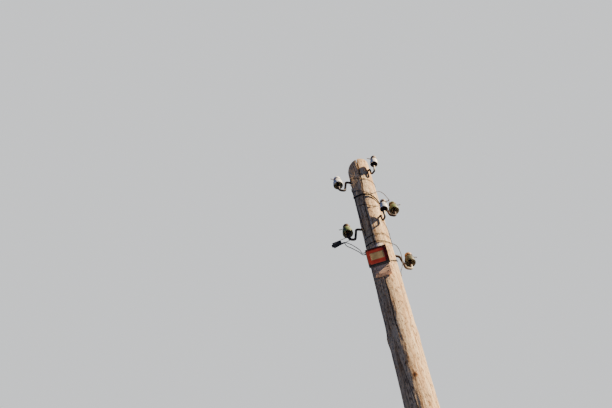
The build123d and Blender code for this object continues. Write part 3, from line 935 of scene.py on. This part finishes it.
cover = cut_block(box_width - 2 * clear, cover_thickness, box_height - 2 * clear,
                  (0, -box_front - cover_thickness / 2, 0))
front_inset(cover, border_side - clear, field_depth,
            (box_height - 2 * border_end) / (box_height - 2 * border_side))
edge_rounded(cover, 0.6)
set_down(cover, fixed_frame)
red_paint = painted("red_vitreous_enamel", ("#7f180f", "#a32a1a"), "#3d231c", 0.5, 0.68)
dressed(cover, "red_cover", red_paint, ["box_frame"])

panel_centre = box_front + cover_thickness - field_depth + seat_gap + panel_thickness / 2
panel = cut_block(box_width - 2 * border_side - 2 * seat_gap, panel_thickness,
                  box_height - 2 * border_end - 2 * seat_gap, (0, -panel_centre, 0))
front_inset(panel, 3, 0.4)
edge_rounded(panel, 0.3)
set_down(panel, fixed_frame)
tan_paint = painted("tan_field_enamel", ("#86704c", "#a48c62"), "#5f4e33", 0.7, 0.67)
dressed(panel, "tan_panel", tan_paint, ["box_panel"])

screw_rings = [(0.5, 2.0), (2.0, 1.8), (3.2, 1.1), (3.5, 0.2), (3.5, -0.8)]
screws = []
for x in (-1, 1):
    for z in (-1, 1):
        screw = turned_shape(screw_rings, 18)
        cut_away(screw, cut_block(8, 1.0, 1.6, (0, 0, 1.9)), solver="EXACT")
        place = (x * screw_across, -box_front - cover_thickness, z * screw_up)
        set_down(screw, fixed_frame @ Matrix.Translation(Vector(place) * mm)
                 @ Matrix.Rotation(pi / 2, 4, "X") @ Matrix.Rotation(x * z * 0.7, 4, "Z"))
        screws.append(screw)
dressed(joined(screws), "cover_screws", rusted, [], smooth=40)


# Glands. Two moulded rubber ferrules in the tray's left side, each with a collar, that
# grip the service leads and keep rain out.
gland_drops = (8.5, 26.0)
gland_length = 8
gland_floor = 4
gland_rings = [(2.0, 0.2), (3.6, 0.0), (4.0, 0.4), (4.0, 2.4), (3.6, 2.8), (3.3, 3.2),
               (3.3, 7.0), (3.6, 7.3), (3.5, 8.0), (2.8, 8.0), (2.65, 7.6), (2.65, 4.1),
               (1.0, 4.0)]


def gland_frame(index):
    """Frame of a gland on the tray's left side, X out of it."""
    place = Vector((-box_width / 2 - seat_gap, -box_back - box_depth / 2,
                    box_height / 2 - gland_drops[index])) * mm
    return fixed_frame @ Matrix.Translation(place) @ Matrix.Rotation(pi, 4, "Z")


rubber = clouded("weathered_black_rubber", {"IOR": 1.52}, [0.004] * 3, (4.0, 0.6),
                 [(0.35, "#141415"), (0.68, "#343536")], (0.3, 0.7, 0.55, 0.85))
ferrules = []
for index in range(2):
    ferrule = turned_shape(gland_rings, 24)
    set_down(ferrule, gland_frame(index) @ Matrix.Rotation(pi / 2, 4, "Y"))
    ferrules.append(ferrule)
dressed(joined(ferrules), "rubber_ferrules", rubber, ["lead_glands"], smooth=40)


# Service clamp. A tapered housing of weathered black polymer, moulded with ribs for the
# hand; a wedge is pushed into its mouth, and a wire bail hangs it on the hook.
clamp_length = 54
clamp_width = 30
clamp_depth = 26
clamp_taper = 5
clamp_floor = 14
rib_places = (68, 77, 86, 95)
rib_half_width = 1.6
rib_height = 0.8
mouth_length = clamp_length - clamp_floor
mouth_width = 17
mouth_depth = 13
wedge_width = 16.4
wedge_depth = 12.4
wedge_start = 72
wedge_length = 47
bail_length = 56
bail_wire = 4
bore_gap = 0.15
bail_eye = bail_length + 7
bail_clear = 2.5
bail_end = 8
bail_bend = 3.6
clamp_fall = radians(18)
clamp_frame = (Matrix.Translation(pin_frame(*fittings["left_lower"], 10).translation)
               @ Matrix.Rotation(radians(-178), 4, "Z") @ Matrix.Rotation(clamp_fall, 4, "Y"))

housing = cut_block(clamp_length, clamp_width - clamp_taper, clamp_depth - clamp_taper,
                    (bail_length + clamp_length / 2, 0, 0))
opened(housing)
pick(housing, "FACE", lambda face: face.normal.x > 0.99)
bpy.ops.transform.resize(value=(1, clamp_width / (clamp_width - clamp_taper),
                                clamp_depth / (clamp_depth - clamp_taper)),
                         center_override=((bail_length + clamp_length) * mm, 0, 0))
pick(housing, "EDGE", lambda edge: abs(edge.verts[1].co.x - edge.verts[0].co.x) > 0.01)
bpy.ops.mesh.bevel(offset=4 * mm, segments=4)
for rib in rib_places:
    for side in (-rib_half_width, rib_half_width):
        bpy.ops.mesh.select_all(action="SELECT")
        bpy.ops.mesh.bisect(plane_co=((rib + side) * mm, 0, 0), plane_no=(1, 0, 0))


def on_rib(face):
    """Whether a face of the housing lies on the side of a rib."""
    middle = face.calc_center_median().x / mm
    return any(abs(middle - rib) < 0.5 for rib in rib_places) and abs(face.normal.x) < 0.5


pick(housing, "FACE", on_rib)
bpy.ops.mesh.extrude_region_shrink_fatten(TRANSFORM_OT_shrink_fatten={"value": rib_height * mm})
shut()
outwards(housing)
mouth = cut_block(mouth_length + 4, mouth_width, mouth_depth,
                  (bail_length + clamp_length - mouth_length / 2 + 2, 0, 0))
cut_away(housing, mouth, solver="EXACT")
bail_bore = made(bpy.ops.mesh.primitive_cylinder_add, vertices=20,
                 radius=(bail_wire / 2 + bore_gap) * mm, depth=2 * clamp_width * mm,
                 location=(bail_eye * mm, 0, 0), rotation=(pi / 2, 0, 0))
cut_away(housing, bail_bore, solver="EXACT")
edge_rounded(housing, 0.4)
set_down(housing, clamp_frame)
polymer = clouded("weathered_black_polymer", {"IOR": 1.5}, [0.010] * 3, (4.0, 0.6),
                  [(0.38, "#16181a"), (0.70, "#3a3c3e")], (0.3, 0.7, 0.45, 0.75))
dressed(housing, "clamp_housing", polymer, ["clamp_body"])

wedge = cut_block(wedge_length, wedge_width, wedge_depth, (wedge_start + wedge_length / 2, 0, 0))
opened(wedge)
pick(wedge, "FACE", lambda face: face.normal.x < -0.99)
bpy.ops.transform.resize(value=(1, 0.9, 0.55),
                         center_override=(wedge_start * mm, 0, -wedge_depth / 2 * mm))
pick(wedge, "FACE", lambda face: face.normal.x > 0.99)
bpy.ops.mesh.inset(thickness=2.6 * mm, depth=0)
extruded((-5 * mm, 0, 0))
shut()
edge_rounded(wedge, 0.8)
set_down(wedge, clamp_frame)
dressed(wedge, "gripping_wedge", polymer, ["clamp_wedge"])

around = hook_kinds["large"].bar / 2 / cos(clamp_fall) + bail_clear + bail_wire / 2
beside = (clamp_width - clamp_taper) / 2 + bail_wire / 2 + 2
bail = drawn_bar([(bail_eye, beside - bail_end, 0), (bail_eye, beside, 0),
                  (-around, around + 1, 0), (-around, -around - 1, 0),
                  (bail_eye, -beside, 0), (bail_eye, bail_end - beside, 0)],
                 [bail_bend, around * 0.95, around * 0.95, bail_bend], bail_wire)
set_down(bail, clamp_frame)
dressed(bail, "wire_bail", rusted, ["clamp_bail"], smooth=50)


# Service leads. Two round black leads hang from the clamp's inner end, swing down beside
# the pole and enter the tray through the ferrules; polyethylene sheath, greyed by the sun.
lead_wire = 5
lead_run_out = 7
lead_run_in = ((18.0, 10.5), (13.5, 4.2), (7.0, 0.0), (0.0, 0.0))
lead_inner_end = gland_length - gland_floor + seat_gap
# Start across and up on the clamp, length in metres, and route across, deep and below the top
leads = {
    "upper": (-4.0, -6.0, 0.283, [
        (-201.5, -68, 936.5), (-194.5, -70.5, 943), (-185, -74.5, 957.5), (-174, -78.5, 975),
        (-162, -83.5, 997), (-149, -89, 1024), (-137, -95, 1054), (-124, -101.5, 1085),
        (-113, -106, 1115), (-107.5, -110, 1137)]),
    "lower": (-9.0, -8.0, 0.297, [
        (-201.5, -62.7, 938.5), (-196.5, -65, 944), (-194, -69, 953), (-193, -73, 970),
        (-189, -78, 992), (-178, -83.5, 1018), (-163.5, -88.5, 1043), (-149.5, -93.8, 1070),
        (-135.5, -98.5, 1099), (-122, -104, 1126), (-112, -109, 1152)]),
}


def free_cord(name, node, points, material):
    """Cord that is held only at its ends, along points in metres."""
    cord = bent_line(name, points, lead_wire, 3, 8)
    dressed(cord, name, material, [node])


sheath = clouded("sun_greyed_polyethylene", {"IOR": 1.5, "Specular IOR Level": 0.25},
                 (0.012, 0.012, 0.020), (4.0, 0.6), [(0.36, "#0d0e10"), (0.68, "#212327")],
                 (0.3, 0.7, 0.4, 0.65))
for index, (place, (side, low, length, route)) in enumerate(leads.items()):
    start = bail_length - seat_gap
    points = [clamp_frame @ (Vector((start - run, side, low)) * mm) for run in (0, lead_run_out)]
    points += [spot(*point) for point in route]
    points += [gland_frame(index) @ (Vector((lead_inner_end + run, 0, rise)) * mm)
               for run, rise in lead_run_in]
    free_cord("lead_" + place, "service_lead_" + place, points, sheath)


# Jumpers. Two insulated wires that link the left side with the rear insulators: each lies
# on the front of the pole, then swings out free. The upper one's sheath has bleached pale.
def on_pole(stops, width):
    """Route on the timber through stops of bearing and distance below the top."""
    route = []
    for i, (bearing, below) in enumerate(stops):
        steps = [abs(stops[j][0] - bearing) for j in (i - 1, i + 1) if 0 <= j < len(stops)]
        reach = pole_radius(below) + width / 2 + seat_gap
        route.append(at(bearing, reach / cos(radians(max(steps) / 2)), below))
    return route


pale_sheath = clouded("bleached_sheath", {"IOR": 1.5}, (0.014, 0.014, 0.022), (4.0, 0.6),
                      [(0.36, "#453f3d"), (0.68, "#766d68")], (0.3, 0.7, 0.45, 0.75))
upper_held = on_pole([(-62, 362), (-36, 396), (-10, 434), (14, 482), (36, 488), (56, 450),
                      (74, 408)], lead_wire)
# The upper jumper ends beside the tie of the rear upper insulator
rear_neck = hook_kinds["large"].rise + neck_share * bell_kinds["large"].height
rear_tie = pin_frame(*fittings["rear_upper"], rear_neck)
tie_gap = 0.7
tie_band = 3.5
tie_side = bell_kinds["large"].groove / 2 + tie_gap + tie_band + seat_gap + lead_wire / 2
upper_free = [at(90, 101, 382), at(98, 122, 396), at(104, 138, 422),
              rear_tie @ (Vector((-tie_side, -28, 18)) * mm),
              rear_tie @ (Vector((-tie_side, 5, 0)) * mm)]
free_cord("jumper_over_front", "jumper_upper", upper_held + upper_free, pale_sheath)

lower_held = on_pole([(-64, 1010), (-40, 1028), (-14, 1039), (8, 1048), (30, 1050),
                      (52, 1048), (72, 1034)], lead_wire)
lower_free = [at(88, 101, 1022), at(98, 115, 1042), at(104, 121, 1084), at(105, 120, 1134),
              at(104, 114, 1184), at(103, 103, 1230)]
lower_end = on_pole([(103, 1272), (104, 1312)], lead_wire)
free_cord("jumper_round_right", "jumper_lower", lower_held + lower_free + lower_end,
          sheath)


# Pole wires. Binding wire, a thick cable and thin leads that lie tight on the timber from
# end to end, held by small staples; old iron is black-brown, sheaths are greyed by the sun.
thin_wire = 3.5
thick_wire = 9

# Old iron wire: the tie wire's metal, nearly black-brown where it has lain for years.
old_iron = clouded("blackened_iron_wire", {"Metallic": 0.2}, [0.008] * 3, (4.0, 0.65),
                   [(0.34, "#1a1512"), (0.50, "#2c231d"), (0.68, "#47382d")],
                   (0.3, 0.7, 0.5, 0.85))
# Width, material, slot, and stops of bearing and distance below the top
pole_wires = {
    "binding_wire": (thin_wire, old_iron, "tie_wire", [
        (-172, 180), (-148, 175), (-122, 180), (-96, 190), (-70, 202), (-44, 222), (-20, 260),
        (4, 284), (30, 300), (56, 308), (82, 304), (108, 284), (134, 248), (160, 212)]),
    "thick_cable": (thick_wire, sheath, "black_sheath", [
        (-60, 438), (-34, 470), (-8, 486), (18, 504), (42, 534), (64, 573), (86, 600),
        (108, 612), (132, 616)]),
    "thin_loop": (thin_wire, old_iron, "tie_wire", [
        (-40, 580), (-14, 598), (12, 644), (34, 646), (58, 618)]),
    "cross_lead": (thin_wire, sheath, "black_sheath", [
        (-62, 940), (-36, 958), (-10, 966), (14, 966), (36, 960), (58, 972), (82, 980),
        (106, 984), (130, 986)]),
    "riser_right": (thin_wire, sheath, "black_sheath", [
        (52, 800), (64, 822), (77, 856), (87, 900), (93, 940)]),
    "riser_left": (lead_wire, sheath, "black_sheath", [
        (-76, 280), (-72, 320), (-66, 380), (-63, 450), (-62, 520), (-60, 590), (-55, 660),
        (-51, 730), (-50, 800), (-48, 870), (-45, 920)]),
    "box_lead": (lead_wire, sheath, "black_sheath", [
        (34, 1252), (50, 1244), (68, 1218), (88, 1190), (100, 1170)]),
}
for name, (width, material, slot, stops) in pole_wires.items():
    wire = wire_along(name, on_pole(stops, width), width, 8)
    dressed(wire, "laid_" + name, material, [name])

# Staples: U-shaped nails driven across the wires at some of their stops
staple_wire = 2
staple_bend = 1.3
staple_leg = 9
staple_clear = 0.2
staple_above = 0.1
stapled = [("riser_left", 1), ("riser_left", 4), ("riser_left", 7), ("riser_left", 9),
           ("box_lead", 2), ("cross_lead", 1), ("cross_lead", 4), ("cross_lead", 7),
           ("riser_right", 0), ("riser_right", 3), ("thick_cable", 0), ("thick_cable", 3),
           ("thick_cable", 7), ("thin_loop", 1), ("thin_loop", 3)]
staples = []
for name, stop in stapled:
    width, _, _, stops = pole_wires[name]
    route = on_pole(stops, width)
    last = min(stop + 1, len(route) - 1)
    along = (route[last] - route[last - 1]).normalized()
    bearing = radians(stops[stop][0])
    here = route[stop]
    # The smooth wire runs a little inside the corners of its route
    if 0 < stop < len(route) - 1:
        here = (route[stop - 1] + 6 * here + route[stop + 1]) / 8
    out = Vector((sin(bearing), -cos(bearing), 0))
    side = along.cross(out).normalized() * (width / 2 + staple_wire / 2 + staple_clear)
    top = out * (width / 2 + staple_wire / 2 + staple_above)
    foot = out * -staple_leg
    middle = here / mm
    staples.append(drawn_bar([middle + side + foot, middle + side + top, middle - side + top,
                              middle - side + foot], [staple_bend] * 2, staple_wire))
dressed(joined(staples), "wire_staples", rusted, [], smooth=60)


# Camera. It stands a few steps in front of the pole at eye height, looks steeply up and
# is rolled a little, so that the pole leans to the left across the picture.
camera_reach = 3.493
camera_bearing = radians(2.0)
camera_height = 1.6
look_up = radians(57.825)
look_aside = radians(-8.586)
camera_roll = radians(-9.415)

ahead = Vector((sin(look_aside) * cos(look_up), cos(look_aside) * cos(look_up), sin(look_up)))
level = Vector((cos(look_aside), -sin(look_aside), 0.0))
upward = level.cross(ahead)
right = cos(camera_roll) * level + sin(camera_roll) * upward
over = cos(camera_roll) * upward - sin(camera_roll) * level
stand = Vector((camera_reach * sin(camera_bearing), -camera_reach * cos(camera_bearing),
                camera_height))
lens = bpy.data.cameras.new("camera")
lens.lens = 57.13
lens.sensor_width = 36.0
lens.clip_start = 0.05
camera = bpy.data.objects.new("camera", lens)
camera.matrix_world = (Matrix.Translation(stand)
                       @ Matrix((right, over, -ahead)).transposed().to_4x4())
bpy.context.scene.collection.objects.link(camera)
bpy.context.scene.camera = camera


# Light and floor. One large key from the right and above, a broad weak bounce from below
# in front, an even fill and a pale floor; the backdrop is plain and pale.
def lamp_from(name, energy, spread, colour, bearing, height):
    """Distant lamp that shines from a bearing and height, all angles in degrees."""
    light = bpy.data.lights.new(name, "SUN")
    light.energy = energy
    light.angle = radians(spread)
    light.color = linear(colour)[:3]
    b, h = radians(bearing), radians(height)
    towards = Vector((sin(b) * cos(h), -cos(b) * cos(h), sin(h)))
    lamp = bpy.data.objects.new(name, light)
    lamp.rotation_euler = towards.to_track_quat("Z", "Y").to_euler()
    lamp.location = towards * 6
    bpy.context.scene.collection.objects.link(lamp)


lamp_from("key", energy=17.0, spread=3, colour="#ffeacb", bearing=83, height=38)
lamp_from("bounce", energy=0.42, spread=90, colour="#bccaff", bearing=-15, height=-35)

world = bpy.data.worlds.new("studio")
bpy.context.scene.world = world
world.use_nodes = True
tree = world.node_tree
tree.nodes.clear()
seen = add(tree, "LightPath", "Is Camera Ray", {})
fill = add(tree, "Background", "Background", {"Color": linear("#93b2ff"), "Strength": 0.15})
backdrop = add(tree, "Background", "Background", {"Color": linear("#e6e8ea"), "Strength": 1.15})
both = add(tree, "MixShader", "Shader", {0: seen, 1: fill, 2: backdrop})
add(tree, "OutputWorld", None, {"Surface": both})

floor = made(bpy.ops.mesh.primitive_circle_add, vertices=96, radius=2.4, fill_type="NGON")
floor.name = "floor"
floor_paint, tree = new_material("floor_paint", {"Roughness": 0.8, "Base Color": linear("#c3cbd6")})
floor.data.materials.append(floor_paint)
